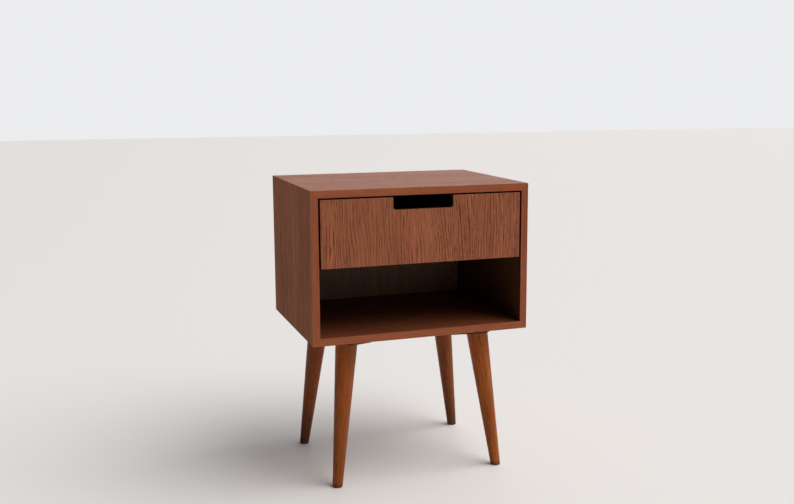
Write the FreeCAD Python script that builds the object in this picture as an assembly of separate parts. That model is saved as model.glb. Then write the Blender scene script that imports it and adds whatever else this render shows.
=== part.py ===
import FreeCAD, Part
import math
import os

# Nightstand: a mitred cabinet on four splayed legs, with one drawer over an open compartment.
# Millimetres. Origin on the floor under the middle of the cabinet, +X right, +Y to the back, +Z up.

# Cabinet shell
cabinet_width = 450.0
cabinet_depth = 350.0
overall_height = 600.0
underside_height = 300.0
panel_thickness = 15.0
lipping_depth = 3.0
outer_edge_radius = 0.8
inner_edge_radius = 0.5

# Back panel, in a rabbet of the shell
back_thickness = 6.0
back_inset = 1.0
back_rabbet_width = 7.5
back_fit = 0.4
back_screw_margin = 40.0

# Loose splines in the mitres
spline_thickness = 3.0
spline_width = 11.0
spline_from_inner_corner = 8.0
spline_end_stop = 12.0
spline_fit = 0.1

# Drawer front
drawer_front_height = 132.0
drawer_front_thickness = 15.0
drawer_top_gap = 3.0
drawer_side_gap = 3.5
drawer_edge_radius = 0.6
notch_width = 124.0
notch_depth = 24.5
notch_corner_radius = 6.0

# Drawer box
box_wall = 12.0
box_floor_thickness = 6.0
box_above_front_edge = 8.0
box_below_notch = 6.5
box_groove_height = 8.0
box_groove_depth = 6.0
box_groove_fit = 0.2
box_edge_radius = 1.0
dowel_radius = 3.0
dowel_in_side = 9.0
dowel_in_end = 20.0
dowel_margin = 26.0
dowel_fit = 0.05
front_screw_from_side = 60.0
front_screw_margin = 28.0

# Telescopic ball runners, one on each side of the drawer box
runner_width = 12.7
runner_height = 45.0
runner_length_step = 50.0
runner_setback = 2.0
runner_rear_room = 20.0
runner_sheet = 1.2
runner_thin_sheet = 1.0
runner_lip = 1.1
runner_gap = 0.3
runner_mouth_step = 1.5
ball_radius = 1.6
ball_fit = 0.05
cage_hole_fit = 0.15
ball_pitch = 20.0
cage_sheet = 0.5
cage_end_room = 5.0
runner_screw_end = 25.0

# Legs, one pair in front and one pair behind
leg_top_radius = 22.2
leg_foot_radius = 10.1
leg_top_edge_radius = 1.0
leg_foot_edge_radius = 1.5
front_leg_from_side = 85.0
front_leg_from_end = 66.0
front_leg_lean_out = 33.0
front_leg_lean_end = 34.0
rear_leg_from_side = 83.5
rear_leg_from_end = 70.0
rear_leg_lean_out = 37.0
rear_leg_lean_end = 19.0

# Mounting blocks, wedge-shaped so that each leg stands square on its block
block_thickness = 14.5
block_width = 60.0
block_outer_reach = 36.0
block_inner_reach = 50.0
block_corner_radius = 4.0
block_screw_outer = 22.0
block_screw_inner = 40.0
block_screw_side_margin = 6.0
block_screw_seat = 8.0

# Leg fixings
bolt_radius = 4.0
bolt_in_leg = 38.0
bolt_tip = 6.0
bolt_fit = 0.05
insert_radius = 5.5
insert_length = 12.0
insert_fit = 0.05

# Screws: head radius, head height, shank radius, shank length
block_screw = (3.8, 2.6, 2.0, 19.0)
back_screw = (3.0, 2.0, 1.6, 16.0)
front_screw = (4.0, 2.6, 2.0, 22.0)
cabinet_runner_screw = (3.8, 1.0, 1.75, 12.0)
drawer_runner_screw = (3.8, 1.0, 1.75, 10.0)
screw_tip = 3.0
screw_point_share = 0.25
screw_fit = 0.05
screw_head_fit = 0.3
counterbore_length = 40.0
recess_width = 0.8
recess_reach_share = 0.6
recess_depth_share = 0.6

# Places that follow from the sizes above
half_width = cabinet_width / 2
front_y = -cabinet_depth / 2
rear_y = cabinet_depth / 2
inner_half_width = half_width - panel_thickness
inner_floor_z = underside_height + panel_thickness
inner_top_z = overall_height - panel_thickness
back_rear_y = rear_y - back_inset
back_front_y = back_rear_y - back_thickness
drawer_top_z = inner_top_z - drawer_top_gap
drawer_bottom_z = drawer_top_z - drawer_front_height
drawer_half_width = inner_half_width - drawer_side_gap
drawer_back_y = front_y + drawer_front_thickness
notch_floor_z = drawer_top_z - notch_depth
box_bottom_z = drawer_bottom_z + box_above_front_edge
box_top_z = notch_floor_z - box_below_notch
box_half_width = inner_half_width - runner_width
box_inner_half_width = box_half_width - box_wall
runner_room = back_front_y - drawer_back_y - 2 * runner_setback - runner_rear_room
runner_length = runner_length_step * math.floor(runner_room / runner_length_step)
runner_front_y = drawer_back_y + runner_setback
box_length = runner_length + 2 * runner_setback
box_rear_y = drawer_back_y + box_length
runner_z = (box_bottom_z + box_top_z) / 2

X_AXIS = FreeCAD.Vector(1, 0, 0)
Y_AXIS = FreeCAD.Vector(0, 1, 0)
Z_AXIS = FreeCAD.Vector(0, 0, 1)
ORIGIN = FreeCAD.Vector(0, 0, 0)
SIDES = (("left", -1), ("right", 1))


def block_between(x0, x1, y0, y1, z0, z1):
    """A box between two corners."""
    return Part.makeBox(x1 - x0, y1 - y0, z1 - z0, FreeCAD.Vector(x0, y0, z0))


def prism(points, direction):
    """A flat outline carried along a direction."""
    return Part.Face(Part.makePolygon(points + points[:1])).extrude(direction)


def mirrored(shape):
    """The same piece on the other side of the cabinet."""
    return shape.mirror(ORIGIN, X_AXIS)


def on_side(shape, side):
    """A piece modelled on the right, put on the side that is asked for."""
    return shape if side > 0 else mirrored(shape)


def cut_all(shape, tools):
    """The shape with every tool cut out of it."""
    for tool in tools:
        shape = shape.cut(tool)
    return shape


def rounded(shape, radius, keep):
    """The shape with a radius on each edge that keep(edge) accepts."""
    return shape.makeFillet(radius, [edge for edge in shape.Edges if keep(edge)])


def write(name, solids):
    """One STEP file for a node: one solid, or a group of separate solids."""
    shape = solids[0] if len(solids) == 1 else Part.makeCompound(solids)
    shape.exportStep("parts/" + name + ".step")


def wood_screw(sizes, seat, direction):
    """A pan-head screw with a cross recess; seat is under its head, direction is the way it drives."""
    head_radius, head_height, shank_radius, shank_length = sizes
    plain = shank_length - screw_tip
    head = Part.makeCylinder(head_radius, head_height, FreeCAD.Vector(0, 0, -head_height))
    shank = Part.makeCylinder(shank_radius, plain)
    point_radius = shank_radius * screw_point_share
    tip = Part.makeCone(shank_radius, point_radius, screw_tip, FreeCAD.Vector(0, 0, plain))
    screw = head.fuse([shank, tip]).removeSplitter()
    arm = head_radius * recess_reach_share
    recess_depth = head_height * recess_depth_share
    for half_x, half_y in ((arm, recess_width / 2), (recess_width / 2, arm)):
        slot = block_between(-half_x, half_x, -half_y, half_y, -head_height, recess_depth - head_height)
        screw = screw.cut(slot)
    screw.Placement = FreeCAD.Placement(seat, FreeCAD.Rotation(Z_AXIS, direction))
    return screw


def screw_hole(sizes, seat, direction):
    """The hole that a screw's shank sits in."""
    return Part.makeCylinder(sizes[2] + screw_fit, sizes[3] + screw_fit, seat, direction)


def head_hole(sizes, seat, direction):
    """The counterbore that a screw's head sits in, open the way of direction."""
    return Part.makeCylinder(sizes[0] + screw_head_fit, counterbore_length, seat, direction)


def shell_envelope():
    """The cabinet's outside, with its edges eased."""
    solid = block_between(-half_width, half_width, front_y, rear_y, underside_height, overall_height)
    return solid.makeFillet(outer_edge_radius, solid.Edges)


def mitred_bar(side, y0, y1):
    """One side of the mitred frame between two depths; side is top, bottom, left or right."""
    low, high = underside_height, overall_height
    inner_low, inner_high = inner_floor_z, inner_top_z
    outlines = {
        "top": ((-half_width, high), (half_width, high), (inner_half_width, inner_high),
                (-inner_half_width, inner_high)),
        "bottom": ((-half_width, low), (half_width, low), (inner_half_width, inner_low),
                   (-inner_half_width, inner_low)),
        "left": ((-half_width, low), (-half_width, high), (-inner_half_width, inner_high),
                 (-inner_half_width, inner_low)),
        "right": ((half_width, low), (half_width, high), (inner_half_width, inner_high),
                  (inner_half_width, inner_low)),
    }
    points = [FreeCAD.Vector(x, y0, z) for x, z in outlines[side]]
    return prism(points, Y_AXIS * (y1 - y0))


def spline(growth):
    """The four mitre splines, or their grooves when they grow by the fit."""
    solids = []
    for side_x in (-1, 1):
        for corner_z, side_z in ((inner_floor_z, -1), (inner_top_z, 1)):
            reach = spline_from_inner_corner / math.sqrt(2)
            centre = FreeCAD.Vector(side_x * (inner_half_width + reach), 0, corner_z + side_z * reach)
            width = spline_width + 2 * growth
            thickness = spline_thickness + 2 * growth
            y0 = front_y + lipping_depth + spline_end_stop - growth
            y1 = back_front_y - spline_end_stop + growth
            solid = block_between(-width / 2, width / 2, y0, y1, -thickness / 2, thickness / 2)
            tilt = FreeCAD.Rotation(Y_AXIS, 45.0 * side_x * side_z)
            solid.Placement = FreeCAD.Placement(centre, tilt)
            solids.append(solid)
    return solids


def back_rabbet():
    """The step at the rear of the shell that the back panel sits in."""
    reach_x = inner_half_width + back_rabbet_width
    return block_between(-reach_x, reach_x, back_front_y, rear_y + 1, inner_floor_z - back_rabbet_width,
                         inner_top_z + back_rabbet_width)


def back_screw_seats():
    """Where the back panel's screws sit: the corners and the middle of its tall sides."""
    x = inner_half_width + back_rabbet_width / 2
    y = back_rear_y - back_screw[1]
    low = inner_floor_z + back_screw_margin
    high = inner_top_z - back_screw_margin
    seats = [FreeCAD.Vector(side * x, y, z) for side in (-1, 1) for z in (low, (low + high) / 2, high)]
    across = inner_half_width - back_screw_margin
    for z in (inner_floor_z - back_rabbet_width / 2, inner_top_z + back_rabbet_width / 2):
        seats += [FreeCAD.Vector(side * across, y, z) for side in (-1, 1)]
    return seats


def back_panel():
    """The panel in the rabbet, with its screws let in flush."""
    reach_x = inner_half_width + back_rabbet_width - back_fit
    z0 = inner_floor_z - back_rabbet_width + back_fit
    z1 = inner_top_z + back_rabbet_width - back_fit
    panel = block_between(-reach_x, reach_x, back_front_y, back_rear_y, z0, z1)
    tools = [head_hole(back_screw, seat, Y_AXIS) for seat in back_screw_seats()]
    return cut_all(panel, tools + [screw_hole(back_screw, seat, -Y_AXIS) for seat in back_screw_seats()])


def leg_layout():
    """For each leg: its name, the point of its axis at the underside, and the way it points down."""
    pairs = (
        ("front", -1, front_leg_from_side, front_leg_from_end, front_leg_lean_out, front_leg_lean_end),
        ("rear", 1, rear_leg_from_side, rear_leg_from_end, rear_leg_lean_out, rear_leg_lean_end))
    legs = []
    for row, end, from_side, from_end, lean_out, lean_end in pairs:
        for name, side in SIDES:
            x = side * (half_width - from_side)
            y = end * (cabinet_depth / 2 - from_end)
            top = FreeCAD.Vector(x, y, underside_height)
            down = FreeCAD.Vector(side * lean_out, end * lean_end, -underside_height)
            legs.append((row + "_" + name, top, down.normalize()))
    return legs


def leg_seat(top, down):
    """The point on the leg's axis where the leg meets its block."""
    return top + down * (block_thickness / -down.z)


def leg(top, down):
    """A turned, tapered leg, sawn level at the floor and drilled for its bolt."""
    seat = leg_seat(top, down)
    length = seat.z / -down.z
    spare = 2 * leg_foot_radius
    taper = (leg_top_radius - leg_foot_radius) / length
    cone = Part.makeCone(leg_top_radius, leg_foot_radius - taper * spare, length + spare, seat, down)
    foot = seat + down * length
    reach = 4 * leg_foot_radius
    below = block_between(foot.x - reach, foot.x + reach, foot.y - reach, foot.y + reach, -reach, 0)
    solid = cone.cut(below)
    solid = rounded(solid, leg_foot_edge_radius, lambda edge: edge.BoundBox.ZMax < 0.01)
    solid = rounded(solid, leg_top_edge_radius, lambda edge: is_ring(edge, seat, leg_top_radius))
    return solid.cut(Part.makeCylinder(bolt_radius + bolt_fit, bolt_in_leg + bolt_fit, seat, down))


def is_ring(edge, centre, radius):
    """True for a full circle of this centre and radius."""
    curve = edge.Curve
    return isinstance(curve, Part.Circle) and curve.Center.distanceToPoint(centre) < 0.01 \
        and abs(curve.Radius - radius) < 0.01


def block_frame(top, down):
    """Unit vectors of a block: along the leg's lean, and across it."""
    along = FreeCAD.Vector(down.x, down.y, 0).normalize()
    return along, Z_AXIS.cross(along)


def block_screw_seats(top, down):
    """Where a block's four screws sit, under the underside of the cabinet."""
    along, across = block_frame(top, down)
    spread = block_width / 2 - block_screw_side_margin
    seats = []
    for reach in (block_screw_outer, -block_screw_inner):
        for side in (-1, 1):
            place = top + along * reach + across * (side * spread)
            seats.append(place - Z_AXIS * block_screw_seat)
    return seats


def leg_block(top, down):
    """A wedge whose lower face is square to the leg, with its screw holes and insert hole."""
    along, across = block_frame(top, down)
    half = block_width / 2
    corners = ((block_outer_reach, -half), (block_outer_reach, half), (-block_inner_reach, half),
               (-block_inner_reach, -half))
    points = [top + along * u + across * v for u, v in corners]
    depth = 3 * block_thickness
    solid = prism(points, Z_AXIS * -depth)
    solid = rounded(solid, block_corner_radius, lambda edge: edge.BoundBox.ZLength > depth - 1)
    seat = leg_seat(top, down)
    solid = solid.cut(Part.makeCylinder(2 * block_inner_reach, 2 * depth, seat, down))
    insert_hole = insert_length + insert_fit
    solid = solid.cut(Part.makeCylinder(insert_radius + insert_fit, insert_hole, seat, down * -1))
    for place in block_screw_seats(top, down):
        tools = [head_hole(block_screw, place, -Z_AXIS), screw_hole(block_screw, place, Z_AXIS)]
        solid = cut_all(solid, tools)
    return solid


def hanger_bolt(top, down):
    """A plain-modelled hanger bolt: machine end in the insert, pointed end in the leg."""
    seat = leg_seat(top, down)
    start = seat - down * insert_length
    shank = insert_length + bolt_in_leg - bolt_tip
    solid = Part.makeCylinder(bolt_radius, shank, start, down)
    point_radius = bolt_radius * screw_point_share
    tip = Part.makeCone(bolt_radius, point_radius, bolt_tip, start + down * shank, down)
    return solid.fuse(tip).removeSplitter()


def threaded_insert(top, down):
    """The sleeve in a block that the hanger bolt screws into."""
    seat = leg_seat(top, down)
    sleeve = Part.makeCylinder(insert_radius, insert_length, seat, down * -1)
    return sleeve.cut(Part.makeCylinder(bolt_radius + bolt_fit, insert_length, seat, down * -1))


def runner_screw_ys():
    """Depths of the three screws in a runner member."""
    first = runner_front_y + runner_screw_end
    last = runner_front_y + runner_length - runner_screw_end
    return (first, (first + last) / 2, last)


def runner_point(u, z):
    """A point of a right-hand runner section; u is the distance in from the cabinet side."""
    return FreeCAD.Vector(inner_half_width - u, runner_front_y, runner_z + z)


def channel(web_u, mouth_u, half_height, sheet, lip):
    """A runner member: a channel whose web is at web_u and whose flanges end at mouth_u."""
    way = 1 if mouth_u > web_u else -1
    inside_u = web_u + way * sheet
    lip_u = mouth_u - way * runner_thin_sheet
    upper = [(web_u, half_height), (mouth_u, half_height)]
    if lip > 0:
        upper += [(mouth_u, half_height - sheet - lip), (lip_u, half_height - sheet - lip),
                  (lip_u, half_height - sheet)]
    else:
        upper += [(mouth_u, half_height - sheet)]
    upper += [(inside_u, half_height - sheet)]
    lower = [(u, -z) for u, z in reversed(upper)]
    return prism([runner_point(u, z) for u, z in upper + lower], Y_AXIS * runner_length)


def runner_levels():
    """Half heights of the three members: each ball row fits between one member and the next."""
    row = 2 * (ball_radius + ball_fit)
    cabinet = runner_height / 2
    middle = cabinet - runner_sheet - row
    drawer = middle - runner_thin_sheet - row
    return cabinet, middle, drawer


def runner_depths():
    """Distances from the cabinet side of the webs and mouths, from the outside in."""
    screw_head = cabinet_runner_screw[1]
    outer_cage = runner_sheet + screw_head + runner_gap
    middle_web = outer_cage + cage_sheet + runner_gap
    inner_cage = middle_web + runner_thin_sheet + runner_gap
    drawer_mouth = inner_cage + cage_sheet + runner_gap
    drawer_web = runner_width
    middle_mouth = drawer_web - runner_sheet - runner_gap
    cabinet_mouth = middle_mouth - runner_mouth_step
    return outer_cage, middle_web, inner_cage, drawer_mouth, drawer_web, middle_mouth, cabinet_mouth


def cabinet_member():
    """The runner's outer channel, screwed to the cabinet side."""
    cabinet_mouth = runner_depths()[6]
    solid = channel(0.0, cabinet_mouth, runner_levels()[0], runner_sheet, runner_lip)
    holes = [screw_hole(cabinet_runner_screw, seat, X_AXIS) for seat in cabinet_screw_seats()]
    return cut_all(solid, holes)


def middle_member():
    """The runner's middle channel, which slides between the other two."""
    _, middle_web, _, _, _, middle_mouth, _ = runner_depths()
    return channel(middle_web, middle_mouth, runner_levels()[1], runner_thin_sheet, runner_lip)


def drawer_member():
    """The runner's inner channel, screwed to the drawer box."""
    _, _, _, drawer_mouth, drawer_web, _, _ = runner_depths()
    solid = channel(drawer_web, drawer_mouth, runner_levels()[2], runner_sheet, 0)
    holes = [screw_hole(drawer_runner_screw, seat, -X_AXIS) for seat in drawer_screw_seats()]
    return cut_all(solid, holes)


def cabinet_screw_seats():
    """Under the heads of the right-hand runner's cabinet screws."""
    return [FreeCAD.Vector(inner_half_width - runner_sheet, y, runner_z) for y in runner_screw_ys()]


def drawer_screw_seats():
    """Under the heads of the right-hand runner's drawer screws."""
    x = inner_half_width - runner_width + runner_sheet
    return [FreeCAD.Vector(x, y, runner_z) for y in runner_screw_ys()]


def ball_rows():
    """For the outer and inner rows: cage web, cage mouth, ball distance from the side, half height."""
    outer_cage, _, inner_cage, _, _, middle_mouth, cabinet_mouth = runner_depths()
    cabinet_level, middle_level, _ = runner_levels()
    rows = {}
    for name, web, mouth, level, sheet in (
            ("outer", outer_cage, cabinet_mouth, cabinet_level, runner_sheet),
            ("inner", inner_cage, middle_mouth, middle_level, runner_thin_sheet)):
        cage_mouth = mouth - runner_thin_sheet - runner_gap
        ball_u = cage_mouth - runner_gap - ball_radius
        rows[name] = (web, cage_mouth, ball_u, level - sheet - ball_radius - ball_fit)
    return rows


def ball_centres(row):
    """Where the balls of one cage sit, both rows, spread about the middle of the runner."""
    _, _, ball_u, half_height = ball_rows()[row]
    count = math.floor((cage_length() - 2 * cage_end_room) / ball_pitch) + 1
    middle_y = runner_front_y + runner_length / 2
    ys = [middle_y + (i - (count - 1) / 2) * ball_pitch for i in range(count)]
    x = inner_half_width - ball_u
    return [FreeCAD.Vector(x, y, runner_z + way * half_height) for y in ys for way in (-1, 1)]


def cage_length():
    """A cage stays between its two members over the whole travel."""
    return runner_length / 2 - 2 * cage_end_room


def balls(row):
    """The balls of one cage."""
    return [Part.makeSphere(ball_radius, centre) for centre in ball_centres(row)]


def ball_cage(row):
    """A thin channel with a hole for each ball."""
    web, mouth, _, half_height = ball_rows()[row]
    outside = half_height + cage_sheet / 2
    inside = outside - cage_sheet
    section = ((web, outside), (mouth, outside), (mouth, inside), (web + cage_sheet, inside),
               (web + cage_sheet, -inside), (mouth, -inside), (mouth, -outside), (web, -outside))
    points = [runner_point(u, z) for u, z in section]
    solid = prism(points, Y_AXIS * cage_length())
    solid.translate(Y_AXIS * ((runner_length - cage_length()) / 2))
    tools = []
    for centre in ball_centres(row):
        start = centre - Z_AXIS * cage_sheet
        tools.append(Part.makeCylinder(ball_radius + cage_hole_fit, 2 * cage_sheet, start))
    return cut_all(solid, tools)


def drawer_front():
    """The drawer front, with the finger notch and its eased edges, drilled for its screws."""
    solid = block_between(-drawer_half_width, drawer_half_width, front_y, drawer_back_y, drawer_bottom_z,
                          drawer_top_z)
    notch = block_between(-notch_width / 2, notch_width / 2, front_y - 1, drawer_back_y + 1, notch_floor_z,
                          drawer_top_z + notch_depth)
    notch = rounded(notch, notch_corner_radius, lambda edge: is_notch_corner(edge))
    solid = solid.cut(notch)
    solid = rounded(solid, drawer_edge_radius, lambda edge: edge.BoundBox.YMax < front_y + 0.01)
    return cut_all(solid, [screw_hole(front_screw, seat, -Y_AXIS) for seat in front_screw_seats()])


def is_notch_corner(edge):
    """True for the two lower edges of the notch, which run from front to back."""
    box = edge.BoundBox
    return box.YLength > drawer_front_thickness and box.ZMax < notch_floor_z + 0.01


def front_screw_seats():
    """Under the heads of the screws that hold the drawer front, inside the box front."""
    y = drawer_back_y + box_wall
    xs = [side * (box_inner_half_width - front_screw_from_side) for side in (-1, 1)]
    zs = (box_bottom_z + front_screw_margin, box_top_z - front_screw_margin)
    return [FreeCAD.Vector(x, y, z) for x in xs for z in zs]


def box_floor(growth):
    """The drawer floor, or the groove for it when it grows by the fit."""
    reach_x = box_inner_half_width + box_groove_depth - box_groove_fit + growth
    y0 = drawer_back_y + box_wall - box_groove_depth + box_groove_fit - growth
    y1 = box_rear_y - box_wall + box_groove_depth - box_groove_fit + growth
    z0 = box_bottom_z + box_groove_height
    return block_between(-reach_x, reach_x, y0, y1, z0 - growth, z0 + box_floor_thickness + growth)


def dowel_places():
    """For each dowel: the point where it crosses the joint, on the right-hand side."""
    ys = (drawer_back_y + box_wall / 2, box_rear_y - box_wall / 2)
    zs = (box_bottom_z + dowel_margin, box_top_z - dowel_margin)
    return [FreeCAD.Vector(box_inner_half_width, y, z) for y in ys for z in zs]


def dowels(side, growth):
    """The dowels of one side of the box, or their holes when they grow by the fit."""
    solids = []
    for place in dowel_places():
        start = place - X_AXIS * (dowel_in_end + growth)
        length = dowel_in_end + dowel_in_side + 2 * growth
        solids.append(on_side(Part.makeCylinder(dowel_radius + growth, length, start, X_AXIS), side))
    return solids


def box_side(side):
    """A side of the drawer box, grooved for the floor and drilled for dowels and runner screws."""
    x0, x1 = box_inner_half_width, box_half_width
    solid = block_between(x0, x1, drawer_back_y, box_rear_y, box_bottom_z, box_top_z)
    solid = rounded(solid, box_edge_radius, lambda edge: edge.BoundBox.ZMin > box_top_z - 0.01
                    and edge.BoundBox.YLength > box_length - 1)
    tools = [box_floor(box_groove_fit)] + dowels(1, dowel_fit)
    tools += [screw_hole(drawer_runner_screw, seat, -X_AXIS) for seat in drawer_screw_seats()]
    return on_side(cut_all(solid, tools), side)


def box_end(y0, seats):
    """The front or back of the drawer box, between its sides."""
    reach = box_inner_half_width
    solid = block_between(-reach, reach, y0, y0 + box_wall, box_bottom_z, box_top_z)
    solid = rounded(solid, box_edge_radius, lambda edge: edge.BoundBox.ZMin > box_top_z - 0.01
                    and edge.BoundBox.XLength > box_inner_half_width)
    tools = [box_floor(box_groove_fit)] + dowels(1, dowel_fit) + dowels(-1, dowel_fit)
    return cut_all(solid, tools + [screw_hole(front_screw, seat, -Y_AXIS) for seat in seats])


def write_shell():
    """The four panels, their lippings, the splines, and the back panel with its screws."""
    envelope = shell_envelope()
    panel_front_y = front_y + lipping_depth
    tools = [back_rabbet()] + spline(spline_fit)
    tools += [screw_hole(back_screw, seat, -Y_AXIS) for seat in back_screw_seats()]
    runner_holes = [screw_hole(cabinet_runner_screw, seat, X_AXIS) for seat in cabinet_screw_seats()]
    for _, side in SIDES:
        tools += [on_side(hole, side) for hole in runner_holes]
    for _, top, down in leg_layout():
        tools += [screw_hole(block_screw, place, Z_AXIS) for place in block_screw_seats(top, down)]
    names = (("top", "top_panel"), ("bottom", "bottom_panel"), ("left", "left_side_panel"),
             ("right", "right_side_panel"))
    for side, name in names:
        write(name, [cut_all(mitred_bar(side, panel_front_y, rear_y).common(envelope), tools)])
        lipping = rounded(mitred_bar(side, front_y, panel_front_y), inner_edge_radius, is_opening_edge)
        write(side + "_front_lipping", [lipping.common(envelope)])
    write("mitre_splines", spline(0))
    write("back_panel", [back_panel()])
    write("back_panel_screws", [wood_screw(back_screw, seat, -Y_AXIS) for seat in back_screw_seats()])


def is_opening_edge(edge):
    """True for the front edge of a lipping that faces the opening."""
    box = edge.BoundBox
    inside_x = max(abs(box.XMin), abs(box.XMax)) < inner_half_width + 0.01
    inside_z = box.ZMin > inner_floor_z - 0.01 and box.ZMax < inner_top_z + 0.01
    return inside_x and inside_z and box.YMax < front_y + 0.01


def write_legs():
    """Legs, mounting blocks and the fixings between them."""
    layout = leg_layout()
    for name, top, down in layout:
        write(name + "_leg", [leg(top, down)])
        write(name + "_leg_block", [leg_block(top, down)])
    write("leg_hanger_bolts", [hanger_bolt(top, down) for _, top, down in layout])
    write("leg_threaded_inserts", [threaded_insert(top, down) for _, top, down in layout])
    seats = [place for _, top, down in layout for place in block_screw_seats(top, down)]
    write("leg_block_screws", [wood_screw(block_screw, place, Z_AXIS) for place in seats])


def write_drawer():
    """The drawer front and the drawer box with its fixings."""
    seats = front_screw_seats()
    write("drawer_front", [drawer_front()])
    write("drawer_front_screws", [wood_screw(front_screw, seat, -Y_AXIS) for seat in seats])
    write("drawer_box_front", [box_end(drawer_back_y, seats)])
    write("drawer_box_back", [box_end(box_rear_y - box_wall, [])])
    write("drawer_floor", [box_floor(0)])
    for name, side in SIDES:
        write("drawer_" + name + "_side", [box_side(side)])
    write("drawer_dowels", dowels(-1, 0) + dowels(1, 0))


def write_runners():
    """Both telescopic runners with their balls, cages and screws."""
    cabinet_screws = []
    drawer_screws = []
    for name, side in SIDES:
        write(name + "_runner_cabinet_member", [on_side(cabinet_member(), side)])
        write(name + "_runner_middle_member", [on_side(middle_member(), side)])
        write(name + "_runner_drawer_member", [on_side(drawer_member(), side)])
        for row in ("outer", "inner"):
            write(name + "_" + row + "_ball_cage", [on_side(ball_cage(row), side)])
            write(name + "_" + row + "_balls", [on_side(ball, side) for ball in balls(row)])
        cabinet_screws += [on_side(wood_screw(cabinet_runner_screw, seat, X_AXIS), side)
                           for seat in cabinet_screw_seats()]
        drawer_screws += [on_side(wood_screw(drawer_runner_screw, seat, -X_AXIS), side)
                          for seat in drawer_screw_seats()]
    write("cabinet_runner_screws", cabinet_screws)
    write("drawer_runner_screws", drawer_screws)


os.makedirs("parts", exist_ok=True)
write_shell()
write_legs()
write_drawer()
write_runners()
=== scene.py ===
from collections import namedtuple
import math

import bpy
from mathutils import Matrix, Vector


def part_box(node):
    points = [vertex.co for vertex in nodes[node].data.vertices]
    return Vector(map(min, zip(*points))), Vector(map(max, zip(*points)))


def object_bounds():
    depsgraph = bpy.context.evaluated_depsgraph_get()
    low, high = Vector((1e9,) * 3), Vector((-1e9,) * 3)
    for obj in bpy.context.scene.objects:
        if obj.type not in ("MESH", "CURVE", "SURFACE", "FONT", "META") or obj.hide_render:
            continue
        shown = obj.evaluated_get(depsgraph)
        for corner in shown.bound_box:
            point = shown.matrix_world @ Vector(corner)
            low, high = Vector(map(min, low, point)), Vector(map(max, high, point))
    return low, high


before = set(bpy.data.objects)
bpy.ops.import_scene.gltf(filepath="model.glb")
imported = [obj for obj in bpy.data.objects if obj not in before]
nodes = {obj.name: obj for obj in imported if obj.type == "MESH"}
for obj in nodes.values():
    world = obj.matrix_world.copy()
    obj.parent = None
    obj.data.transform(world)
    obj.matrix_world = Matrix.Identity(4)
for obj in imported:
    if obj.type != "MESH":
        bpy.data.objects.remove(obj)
cad_low, cad_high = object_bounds()
shell_low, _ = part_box("bottom_panel")
_, shell_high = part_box("top_panel")
shell_low.y = cad_low.y

# Directions in the frame: the front looks towards -Y
rightward = (1.0, 0.0, 0.0)
leftward = (-1.0, 0.0, 0.0)
backward = (0.0, 1.0, 0.0)
upward = (0.0, 0.0, 1.0)
downward = (0.0, 0.0, -1.0)

# Camera: standing in front, to the left and a little above the top
camera_place = Vector((-0.649, -1.963, 0.791))
camera_yaw = math.radians(20.5)
camera_pitch = math.radians(9.17)
camera_lens = 44.6
camera_sensor = 36.0
camera_shift = (-0.0454, -0.0077)

# Light: the way to the sun, and how bright the room is from one end to the other
sun_from = (0.62, -0.38, 1.0)
sun_width = 55.0
sun_strength = 2.4
sun_tone = (1.0, 0.985, 0.96)
room_left_to_right = (0.06, 0.95)
room_side_reach = (-0.7, 0.7)
room_front_to_back = (0.55, 1.0)
room_depth_reach = (-0.5, 0.3)
room_tone = (0.97, 0.98, 1.0)
backdrop_tone = (0.84, 0.845, 0.86)

# The floor that the nightstand stands on
ground_reach = 14.0
ground_tone = (0.80, 0.775, 0.755)
ground_roughness = 0.55
ground_specular = 0.3

# Wood colours, linear: light wood, dark wood, pores
veneer = ((0.390, 0.123, 0.061), (0.245, 0.073, 0.034), (0.115, 0.030, 0.013))
lipping = ((0.36, 0.100, 0.043), (0.25, 0.066, 0.028), (0.120, 0.028, 0.010))
back_veneer = ((0.29, 0.155, 0.095), (0.21, 0.106, 0.062), (0.085, 0.036, 0.019))
turned_wood = ((0.44, 0.104, 0.011), (0.24, 0.051, 0.006), (0.100, 0.017, 0.002))
beech = ((0.52, 0.31, 0.17), (0.42, 0.24, 0.12), (0.30, 0.16, 0.08))
# Painted light: the side panels get their own lighter, less red copy of the veneer, to look as the sides do
# in their light
side_light_tone = (1.05, 1.13, 1.03)
# The drawer box is darker than the front: partly its plainer wood, partly painted shade so that it reads
# black through the notch
drawer_box_tone_and_shade = 0.5
# Painted shade: the blocks are the leg wood darkened as it looks in shade under the top
block_shade_tone = 0.3
# Painted shade: each leg's wood is darkened by the shade it stands in, the front left leg away from the
# light and the rear legs most
leg_shade_tones = {
    "front_left_leg": 0.80,
    "front_right_leg": 1.00,
    "rear_left_leg": 0.78,
    "rear_right_leg": 0.66,
}

# Painted shade: its tone, its strength, and how far it takes to reach it, in metres
# Painted shade on the shell's inner faces, where the compartment and the space behind the drawer lie in
# shade; this tone also serves the drawer front's edges and the feet
dark_shade_tone = (0.040, 0.020, 0.009)
inner_shade_strength = 0.84
# Painted shade on the bottom panel's top face, the floor of the compartment
compartment_floor_shade_tone = (0.052, 0.009, 0.002)
compartment_floor_shade_strength = 0.60
# Painted shade in the gaps round the drawer and the compartment, on the lippings' inward faces
gap_shade_tone = (0.010, 0.006, 0.003)
lipping_gap_shade_strength = 0.95
bottom_lipping_gap_shade_strength = 0.3
# Painted shade on the drawer front behind its face: its edges in the gaps, the walls and floor of its notch
# and its rear face; it starts this far behind the face, on the rounded arris
drawer_edge_shade_strength = 0.95
drawer_edge_shade_start = 0.0005
# Painted shade at the feet: a contact shadow low on the front legs, and shade reaching further up the rear
# legs
foot_shade_strength = 0.7
shade_fade = 0.0003
lipping_shade_fade = 0.0005
foot_shade_fades = {"front": 0.012, "rear": 0.12}
shade_margin = 0.0001

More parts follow.
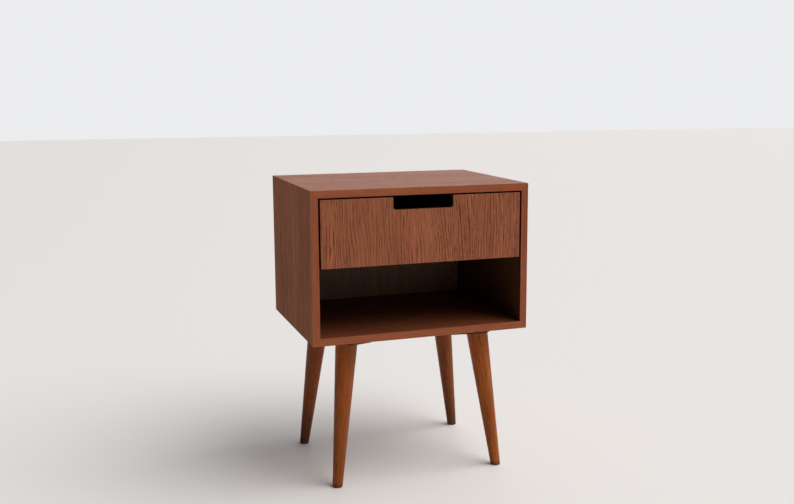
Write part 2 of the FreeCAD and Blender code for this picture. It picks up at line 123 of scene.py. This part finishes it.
# Wood grain: how many noise cells a metre holds, across the grain twice and then along it
grain_drifts = (((7.0, 7.0, 3.4), 4.0), ((34.0, 34.0, 9.0), 1.3), ((150.0, 150.0, 40.0), 0.16))
ring_drift_cells = (52.0, 52.0, 6.0)
boldness_cells = (120.0, 120.0, 17.0)
broad_cells = (26.0, 26.0, 3.0)
streak_cells = (170.0, 170.0, 5.0)
fibre_cells = (2200.0, 2200.0, 50.0)
pore_cells = (950.0, 950.0, 24.0)
openness_cells = (14.0, 14.0, 4.0)
warmth_cells = (18.0, 18.0, 7.0)

# Wood grain: how much each part of it does
ring_drift = 1.9
ring_lean = (0.94, 0.34, 0.0)
broad_share = 0.4
streak_share = 0.7
fibre_share = 0.3
fibre_height = 0.25
warmth_shift = (0.93, 1.04, 0.90)
pore_roughness = 0.18
broad_roughness = 0.12
pore_depth = 0.00006

# Worn edges
edge_cells = (60.0, 60.0, 60.0)
worn_reach = 0.0011
worn_strength = 0.22
worn_lightening = 1.5
worn_roughness = 0.2

# Legs: ring width, how far the pith lies to the right of a leg's axis, and the steps from leg to leg
leg_ring = 0.0027
leg_pith = 0.03
leg_pith_step = 0.004
leg_grain_step = 0.7
# How far the pith lies to the rear, as a share of how far it lies to the right
pith_lean = -0.4
# How much of a leg counts as its end where its axis is measured
leg_end_reach = 0.012

# Metal: how many noise cells a metre holds, and how much they do
scratch_cells = (3000.0, 60.0, 3000.0)
spangle_cells = (320.0, 320.0, 320.0)
scratch_depth = 0.00001
dull_share = 0.7
dull_base = 0.25

# Painted shade: a direction, how far along it the shade is full, and the values named above
PaintedShade = namedtuple("PaintedShade", "direction limit strength tone fade")


class Graph:
    """A material's node tree, with a short call for each kind of node that the materials use."""

    def __init__(self, name):
        self.material = bpy.data.materials.new(name)
        self.material.use_nodes = True
        self.tree = self.material.node_tree
        self.tree.nodes.clear()
        self.shader = self.node("ShaderNodeBsdfPrincipled")
        output = self.node("ShaderNodeOutputMaterial")
        self.tree.links.new(self.shader.outputs[0], output.inputs["Surface"])

    def node(self, kind, **settings):
        made = self.tree.nodes.new(kind)
        for key, value in settings.items():
            setattr(made, key, value)
        return made

    def feed(self, socket, value):
        """Links a socket to another socket, or sets it to a number or a vector."""
        if isinstance(value, bpy.types.NodeSocket):
            self.tree.links.new(value, socket)
        else:
            socket.default_value = value

    def place(self):
        """Coordinates in the frame, in metres."""
        return self.node("ShaderNodeTexCoord").outputs["Object"]

    def math(self, operation, a, b=0.0, clamp=False):
        made = self.node("ShaderNodeMath", operation=operation, use_clamp=clamp)
        self.feed(made.inputs[0], a)
        self.feed(made.inputs[1], b)
        return made.outputs[0]

    def vector(self, operation, a, b=(0.0, 0.0, 0.0)):
        made = self.node("ShaderNodeVectorMath", operation=operation)
        self.feed(made.inputs[0], a)
        self.feed(made.inputs[1], b)
        return made.outputs["Value" if operation in ("DOT_PRODUCT", "LENGTH") else "Vector"]

    def noise(self, vector, cells, detail=2.0, roughness=0.5, colour=False):
        """Noise with so many cells to the metre on each axis."""
        made = self.node("ShaderNodeTexNoise", noise_dimensions="3D")
        self.feed(made.inputs["Vector"], self.vector("MULTIPLY", vector, cells))
        made.inputs["Scale"].default_value = 1.0
        made.inputs["Detail"].default_value = detail
        made.inputs["Roughness"].default_value = roughness
        return made.outputs["Color" if colour else "Fac"]

    def ramp(self, value, start, end, low=0.0, high=1.0):
        """Runs smoothly from low to high as value goes from start to end."""
        made = self.node("ShaderNodeMapRange", interpolation_type="SMOOTHSTEP")
        for index, number in enumerate((value, start, end, low, high)):
            self.feed(made.inputs[index], number)
        return made.outputs["Result"]

    def mix(self, factor, a, b):
        """A colour between a and b."""
        made = self.node("ShaderNodeMix", data_type="RGBA")
        self.feed(made.inputs["Factor"], factor)
        for name, value in (("A", a), ("B", b)):
            socket = [s for s in made.inputs if s.name == name and s.type == "RGBA"][0]
            self.feed(socket, (*value, 1.0) if isinstance(value, tuple) else value)
        return [s for s in made.outputs if s.type == "RGBA"][0]

    def bump(self, height, distance):
        made = self.node("ShaderNodeBump")
        made.inputs["Distance"].default_value = distance
        self.feed(made.inputs["Height"], height)
        return made.outputs["Normal"]


def tinted(colours, factor):
    """The same colours, each multiplied by a number or by one number for each of red, green and blue."""
    factors = factor if isinstance(factor, tuple) else (factor,) * 3
    return tuple(tuple(c * f for c, f in zip(colour, factors)) for colour in colours)


def grain_turn(grain, face):
    """The turn that brings the grain's axis to Z and the axis across the broad face to X."""
    axes = {"x": Vector((1.0, 0.0, 0.0)), "y": Vector((0.0, 1.0, 0.0)), "z": Vector((0.0, 0.0, 1.0))}
    along, across = axes[grain], axes[face]
    return Matrix((across, along.cross(across), along))


def leg_turn(name):
    """The turn that brings a leg's own axis upright with X still to the right, and a point on that axis."""
    low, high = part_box(name)
    mesh = nodes[name].data
    ends = []
    for level, side in ((low.z, 1), (high.z, -1)):
        ring = [v.co for v in mesh.vertices if side * (v.co.z - level) < leg_end_reach]
        ends.append(sum(ring, Vector()) / len(ring))
    axis = (ends[1] - ends[0]).normalized()
    across = Vector((0.0, 1.0, 0.0)).cross(axis).normalized()
    return Matrix((across, axis.cross(across), axis)), ends[0]


def grain_space(graph, turn, origin, offset):
    """Coordinates with Z along the grain: place in the frame, turned about origin and moved by offset."""
    mapping = graph.node("ShaderNodeMapping", vector_type="POINT")
    mapping.inputs["Location"].default_value = -(turn @ origin) + Vector(offset)
    mapping.inputs["Rotation"].default_value = turn.to_euler("XYZ")
    graph.feed(mapping.inputs["Vector"], graph.place())
    return mapping.outputs["Vector"]


def grain_place(graph, turn, origin, offset, waviness):
    """Coordinates along the grain, bent by slow and by quick drift so that no line is straight."""
    place = grain_space(graph, turn, origin, offset)
    for cells, share in grain_drifts:
        drift = graph.vector("SUBTRACT", graph.noise(place, cells, 1.0, 0.5, colour=True), (0.5, 0.5, 0.5))
        reach = waviness * share
        place = graph.vector("ADD", place, graph.vector("MULTIPLY", drift, (reach, reach, 0.0)))
    return place


def ring_distance(graph, place, pith):
    """How far a place lies across the growth rings, which are flat if there is no pith."""
    if pith is None:
        return graph.vector("DOT_PRODUCT", place, ring_lean)
    from_pith = graph.vector("SUBTRACT", place, (pith, pith_lean * pith, 0.0))
    return graph.vector("LENGTH", graph.vector("MULTIPLY", from_pith, (1.0, 1.0, 0.0)))


def early_wood(graph, place, ring, pith):
    """High in each ring's early wood and 0 in its late wood, and bolder in some places than in others."""
    uneven = graph.math("SUBTRACT", graph.noise(place, ring_drift_cells, 2.0), 0.5)
    even_years = graph.math("DIVIDE", ring_distance(graph, place, pith), ring)
    years = graph.math("ADD", even_years, graph.math("MULTIPLY", uneven, ring_drift))
    phase = graph.math("FRACT", years)
    early = graph.math("MULTIPLY", graph.ramp(phase, 0.0, 0.10), graph.ramp(phase, 0.14, 0.5, 1.0, 0.0))
    boldness = graph.ramp(graph.noise(place, boldness_cells, 2.0), 0.36, 0.62, 0.15, 1.3)
    return graph.math("MULTIPLY", early, boldness)


def wood_shade(graph, place, early, broad, fibre, tone, rings):
    """0 where the wood is light and 1 where it is dark."""
    streak = graph.noise(place, streak_cells, 3.0, 0.6)
    shade = graph.math("MULTIPLY", graph.ramp(broad, 0.3, 0.7), broad_share)
    streaks = graph.math("MULTIPLY", graph.ramp(streak, 0.35, 0.68), streak_share * tone)
    shade = graph.math("ADD", shade, streaks)
    shade = graph.math("ADD", shade, graph.math("MULTIPLY", early, rings * tone))
    fibres = graph.math("MULTIPLY", graph.math("SUBTRACT", fibre, 0.5), fibre_share)
    return graph.math("ADD", shade, fibres, clamp=True)


def edge_nearness(graph, low, high, reach):
    """1 on the edges of a box and 0 further than reach from them, roughened by noise."""
    place = graph.place()
    from_middle = graph.vector("SUBTRACT", place, (low + high) / 2)
    absolute = graph.node("ShaderNodeVectorMath", operation="ABSOLUTE")
    graph.feed(absolute.inputs[0], from_middle)
    depth = graph.vector("SUBTRACT", (high - low) / 2, absolute.outputs["Vector"])
    split = graph.node("ShaderNodeSeparateXYZ")
    graph.feed(split.inputs[0], depth)
    a, b, c = split.outputs
    least = graph.math("MINIMUM", a, b)
    second = graph.math("MAXIMUM", least, graph.math("MINIMUM", graph.math("MAXIMUM", a, b), c))
    reach_here = graph.math("MULTIPLY", graph.noise(place, edge_cells, 3.0), 2 * reach)
    return graph.ramp(graph.math("DIVIDE", second, reach_here), 0.0, 1.0, 1.0, 0.0)


def with_painted_shade(graph, colour, painted_shade):
    """The colour, darkened by painted shade until the shade is full at its limit."""
    depth = graph.vector("DOT_PRODUCT", graph.place(), painted_shade.direction)
    full = painted_shade.limit - shade_margin
    strength = graph.ramp(depth, full - painted_shade.fade, full, 0.0, painted_shade.strength)
    return graph.mix(strength, colour, painted_shade.tone)


def wood(name, colours, turn, origin=Vector(), offset=(0.0, 0.0, 0.0), ring=0.0054, pith=None, pores=0.7,
         tone=0.5, rings=0.75, waviness=0.006, roughness=0.42, specular=0.3, ior=1.45, worn_box=None,
         painted_shade=None):
    """Lacquered wood: growth rings, pores gathered in the early wood, fine fibre, worn edges and painted
    shade.
    ring is the width of a growth ring, and pith is how far the rings' centre lies to the right of the
    origin; without it the rings lie as in flat veneer. pores, tone and rings say how strongly the pores,
    the streaks and rings, and the rings alone show. worn_box is the box whose edges are worn."""
    light, dark, pore = colours
    graph = Graph(name)
    place = grain_place(graph, turn, origin, offset, waviness)
    early = early_wood(graph, place, ring, pith)
    broad = graph.noise(place, broad_cells, 2.0, 0.55)
    fibre = graph.noise(place, fibre_cells, 2.0, 0.6)
    pore_field = graph.noise(place, pore_cells, 2.0, 0.6)
    pore_here = graph.ramp(graph.math("ADD", pore_field, graph.math("MULTIPLY", early, 0.15)), 0.54, 0.68)
    openness = graph.ramp(graph.noise(place, openness_cells, 1.0), 0.3, 0.7, 0.45 * pores, pores)

    warmth = graph.ramp(graph.noise(place, warmth_cells, 2.0), 0.35, 0.65)
    warm, = tinted((light,), warmth_shift)
    shade = wood_shade(graph, place, early, broad, fibre, tone, rings)
    colour = graph.mix(shade, graph.mix(warmth, light, warm), dark)
    colour = graph.mix(graph.math("MULTIPLY", pore_here, openness), colour, pore)
    rough = graph.math("ADD", graph.math("MULTIPLY", pore_here, pore_roughness), roughness)
    broad_part = graph.math("MULTIPLY", graph.math("SUBTRACT", broad, 0.5), broad_roughness)
    rough = graph.math("ADD", rough, broad_part)
    if worn_box is not None:
        worn = graph.math("MULTIPLY", edge_nearness(graph, *worn_box, worn_reach), worn_strength)
        colour = graph.mix(worn, colour, tuple(worn_lightening * c for c in light))
        rough = graph.math("ADD", rough, graph.math("MULTIPLY", worn, worn_roughness))
    # Painted shade, darkening the colour towards one face
    if painted_shade is not None:
        colour = with_painted_shade(graph, colour, painted_shade)
    graph.feed(graph.shader.inputs["Base Color"], colour)
    graph.feed(graph.shader.inputs["Roughness"], rough)
    height = graph.math("SUBTRACT", graph.math("MULTIPLY", fibre, fibre_height), pore_here)
    graph.feed(graph.shader.inputs["Normal"], graph.bump(height, pore_depth))
    graph.shader.inputs["IOR"].default_value = ior
    graph.shader.inputs["Specular IOR Level"].default_value = specular
    return graph.material


def metal(name, colour, roughness, scratch=0.12, spangle=0.0):
    """Bare or plated metal with fine scratches, and zinc spangle where asked for."""
    graph = Graph(name)
    place = graph.place()
    along = graph.noise(place, scratch_cells, 3.0, 0.6)
    patch = graph.noise(place, spangle_cells, 3.0, 0.5)
    dull = tuple(dull_share * c for c in colour)
    dullness = graph.math("MULTIPLY", patch, spangle + dull_base)
    graph.feed(graph.shader.inputs["Base Color"], graph.mix(dullness, colour, dull))
    rough = graph.math("ADD", graph.math("MULTIPLY", along, scratch), roughness)
    rough = graph.math("ADD", rough, graph.math("MULTIPLY", patch, spangle))
    graph.feed(graph.shader.inputs["Roughness"], rough)
    graph.feed(graph.shader.inputs["Normal"], graph.bump(along, scratch_depth))
    graph.shader.inputs["Metallic"].default_value = 1.0
    return graph.material


def dress(name, material):
    """Gives a CAD node one material in place of those it has."""
    mesh = nodes[name].data
    mesh.materials.clear()
    mesh.materials.append(material)


def face_shade(name, direction, strength, tone=dark_shade_tone, fade=shade_fade):
    """Painted shade on the face of a node that looks in a direction."""
    limit = max(Vector(direction).dot(corner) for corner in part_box(name))
    return PaintedShade(direction, limit, strength, tone, fade)


def dress_panel(name, grain, offset, painted_shade, colours=veneer, **look):
    """A veneered panel of the shell. The grain turns with the mitre, so it runs round the shell."""
    dress(name, wood(name + "_veneer", colours, grain_turn(grain, "y"), offset=(offset, offset, 0.0),
                     worn_box=(shell_low, shell_high), painted_shade=painted_shade, **look))


def dress_lipping(side, grain, face, offset, inward, strength=lipping_gap_shade_strength):
    """The solid wood on a panel's front edge, with painted shade on its inward side, in the gap."""
    name = side + "_front_lipping"
    # Painted shade on the inward face, in the gap
    painted_shade = face_shade(name, inward, strength, gap_shade_tone, lipping_shade_fade)
    dress(name, wood(name + "_wood", lipping, grain_turn(grain, face), offset=(offset, 0.0, offset),
                     ring=0.0034, rings=0.35, pores=0.4, specular=0.15,
                     worn_box=(shell_low, shell_high), painted_shade=painted_shade))


def dress_shell():
    """Veneered panels with painted shade on their inner faces, their solid lippings with painted shade in
    the gaps, and the back panel.
    """
    # Painted light: the side panels' own copy of the veneer
    lit_side_veneer = tinted(veneer, side_light_tone)
    # Each panel's inner face gets painted shade
    dress_panel("top_panel", "x", 0.3, face_shade("top_panel", downward, inner_shade_strength),
                tone=0.55, specular=0.24, ior=1.45)
    dress_panel("bottom_panel", "x", 1.1, face_shade("bottom_panel", upward, compartment_floor_shade_strength, compartment_floor_shade_tone),
                tone=0.5, specular=0.12, ior=1.3)
    dress_panel("left_side_panel", "z", 2.3, face_shade("left_side_panel", rightward, inner_shade_strength),
                colours=lit_side_veneer, tone=0.75, specular=0.05, ior=1.15)
    dress_panel("right_side_panel", "z", 3.7, face_shade("right_side_panel", leftward, inner_shade_strength),
                colours=lit_side_veneer, tone=0.65, specular=0.05, ior=1.15)
    dress_lipping("top", "x", "z", 0.2, downward)
    dress_lipping("bottom", "x", "z", 0.9, upward, bottom_lipping_gap_shade_strength)
    dress_lipping("left", "z", "x", 1.7, rightward)
    dress_lipping("right", "z", "x", 2.9, leftward)
    dress("back_panel", wood("back_veneer", back_veneer, grain_turn("z", "x"), offset=(4.1, 0.0, 0.0),
                             ring=0.0045, tone=0.5))


def dress_drawer_front():
    """The veneered front, with painted shade behind its face: on its edges, in its notch and on its rear
    face.
    """
    low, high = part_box("drawer_front")
    # Painted shade on everything behind the face
    edge_shade = PaintedShade(backward, low.y + drawer_edge_shade_start, drawer_edge_shade_strength, dark_shade_tone, shade_fade)
    dress("drawer_front", wood("drawer_veneer", veneer, grain_turn("z", "x"), offset=(7.7, 0.0, 0.0),
                               tone=0.68, rings=1.4, pores=0.95, waviness=0.0105, specular=0.15,
                               worn_box=(low, high), painted_shade=edge_shade))


def dress_drawer_wall(name, grain, face, offset):
    """A wall or the floor of the drawer box, plainer than the front and darker, partly as its own wood and
    partly as painted shade.
    """
    plain = tinted(veneer, drawer_box_tone_and_shade)
    dress(name, wood(name + "_wood", plain, grain_turn(grain, face), offset=(offset, 0.0, offset),
                     ring=0.005, pores=0.5, roughness=0.55, worn_box=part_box(name)))


def dress_drawer():
    """The drawer front, the box behind it, and its dowels."""
    dress_drawer_front()
    dress_drawer_wall("drawer_left_side", "y", "z", 0.4)
    dress_drawer_wall("drawer_right_side", "y", "z", 1.3)
    dress_drawer_wall("drawer_box_front", "x", "z", 2.2)
    dress_drawer_wall("drawer_box_back", "x", "z", 3.1)
    dress_drawer_wall("drawer_floor", "x", "y", 4.6)
    dress("drawer_dowels", wood("dowel_beech", beech, grain_turn("x", "y"), pores=0.2, roughness=0.6))


def dress_leg(name, index):
    """A turned leg with painted shade towards its foot and a tone darkened by painted shade, and the block
    that it stands on, a copy of the leg wood darkened as painted shade.
    """
    turn, origin = leg_turn(name)
    # Painted shade: the leg's wood, darkened by the shade this leg stands in
    colours = tinted(turned_wood, leg_shade_tones[name])
    foot_shade = PaintedShade(downward, 0.0, foot_shade_strength, dark_shade_tone, foot_shade_fades[name.split("_")[0]])
    dress(name, wood(name + "_wood", colours, turn, origin, (0.0, 0.0, leg_grain_step * index),
                     ring=leg_ring, pith=leg_pith + leg_pith_step * index, tone=0.62, rings=0.45,
                     pores=0.85, waviness=0.0014, roughness=0.38, specular=0.25, painted_shade=foot_shade))
    # Painted shade: the block is a darkened copy of the leg wood
    dark = tinted(turned_wood, block_shade_tone)
    dress(name + "_block", wood(name + "_block_wood", dark, grain_turn("x", "y"),
                                offset=(index, 0.0, 0.0), roughness=0.6))


def dress_legs():
    """Legs and blocks, and the splines in the shell's mitres."""
    for index, name in enumerate(sorted(n for n in nodes if n.endswith("_leg"))):
        dress_leg(name, index)
    dress("mitre_splines", wood("spline_beech", beech, grain_turn("y", "x"), pores=0.2, roughness=0.6))


def dress_metal():
    """Runners, balls, screws and leg fixings."""
    zinc = metal("zinc_plated_sheet", (0.62, 0.63, 0.66), 0.28, spangle=0.12)
    plain = metal("plain_sheet", (0.50, 0.50, 0.52), 0.38)
    bearing = metal("bearing_steel", (0.72, 0.72, 0.74), 0.08, scratch=0.04)
    screw = metal("zinc_plated_screw", (0.64, 0.64, 0.66), 0.25)
    brass = metal("brass", (0.78, 0.57, 0.26), 0.25)
    for name in nodes:
        if name.endswith("_member"):
            dress(name, zinc)
        elif name.endswith("_ball_cage"):
            dress(name, plain)
        elif name.endswith("_balls"):
            dress(name, bearing)
        elif name.endswith("_screws") or name == "leg_hanger_bolts":
            dress(name, screw)
        elif name == "leg_threaded_inserts":
            dress(name, brass)


def make_floor():
    """A plain pale floor, a little glossy, that can be looked through from below."""
    mesh = bpy.data.meshes.new("floor")
    corners = [(x * ground_reach, y * ground_reach, 0.0) for x, y in ((-1, -1), (1, -1), (1, 1), (-1, 1))]
    mesh.from_pydata(corners, [], [(0, 1, 2, 3)])
    floor = bpy.data.objects.new("floor", mesh)
    bpy.context.scene.collection.objects.link(floor)
    graph = Graph("pale_floor")
    graph.shader.inputs["Base Color"].default_value = (*ground_tone, 1.0)
    graph.shader.inputs["Roughness"].default_value = ground_roughness
    graph.shader.inputs["Specular IOR Level"].default_value = ground_specular
    from_below = graph.node("ShaderNodeNewGeometry").outputs["Backfacing"]
    graph.feed(graph.shader.inputs["Alpha"], graph.math("SUBTRACT", 1.0, from_below))
    mesh.materials.append(graph.material)


def make_sun():
    """A wide, soft light from the right, the front and above."""
    data = bpy.data.lights.new("soft_key", "SUN")
    data.energy = sun_strength
    data.angle = math.radians(sun_width)
    data.color = sun_tone
    light = bpy.data.objects.new("soft_key", data)
    light.rotation_mode = "QUATERNION"
    light.rotation_quaternion = Vector(sun_from).to_track_quat("Z", "Y")
    bpy.context.scene.collection.objects.link(light)


def world_ramp(tree, value, reach, levels):
    """Runs smoothly from the first level to the second over the reach."""
    made = tree.nodes.new("ShaderNodeMapRange")
    made.interpolation_type = "SMOOTHSTEP"
    tree.links.new(value, made.inputs["Value"])
    for name, number in zip(("From Min", "From Max", "To Min", "To Max"), (*reach, *levels)):
        made.inputs[name].default_value = number
    return made.outputs["Result"]


def room_light(tree):
    """Light from a room that is bright on the right and behind, and dim on the left and in front."""
    way = tree.nodes.new("ShaderNodeSeparateXYZ")
    tree.links.new(tree.nodes.new("ShaderNodeTexCoord").outputs["Generated"], way.inputs[0])
    strength = tree.nodes.new("ShaderNodeMath")
    strength.operation = "MULTIPLY"
    across = world_ramp(tree, way.outputs["X"], room_side_reach, room_left_to_right)
    tree.links.new(across, strength.inputs[0])
    deep = world_ramp(tree, way.outputs["Y"], room_depth_reach, room_front_to_back)
    tree.links.new(deep, strength.inputs[1])
    room = tree.nodes.new("ShaderNodeBackground")
    room.inputs["Color"].default_value = (*room_tone, 1.0)
    tree.links.new(strength.outputs[0], room.inputs["Strength"])
    return room.outputs[0]


def make_surrounding():
    """The room's light, of which the camera sees one pale tone."""
    world = bpy.data.worlds.new("surrounding")
    world.use_nodes = True
    tree = world.node_tree
    tree.nodes.clear()
    backdrop = tree.nodes.new("ShaderNodeBackground")
    backdrop.inputs["Color"].default_value = (*backdrop_tone, 1.0)
    seen = tree.nodes.new("ShaderNodeLightPath").outputs["Is Camera Ray"]
    chosen = tree.nodes.new("ShaderNodeMixShader")
    for value, socket in zip((seen, room_light(tree), backdrop.outputs[0]), chosen.inputs):
        tree.links.new(value, socket)
    output = tree.nodes.new("ShaderNodeOutputWorld")
    tree.links.new(chosen.outputs[0], output.inputs["Surface"])
    bpy.context.scene.world = world
    bpy.context.scene.view_settings.view_transform = "Standard"


def make_camera():
    """The camera of the main view, with a small shift."""
    data = bpy.data.cameras.new("camera")
    data.lens = camera_lens
    data.sensor_width = camera_sensor
    data.shift_x, data.shift_y = camera_shift
    camera = bpy.data.objects.new("camera", data)
    camera.location = camera_place
    camera.rotation_euler = (math.radians(90.0) - camera_pitch, 0.0, -camera_yaw)
    bpy.context.scene.collection.objects.link(camera)
    bpy.context.scene.camera = camera


dress_shell()
dress_drawer()
dress_legs()
dress_metal()
make_floor()
make_sun()
make_surrounding()
make_camera()
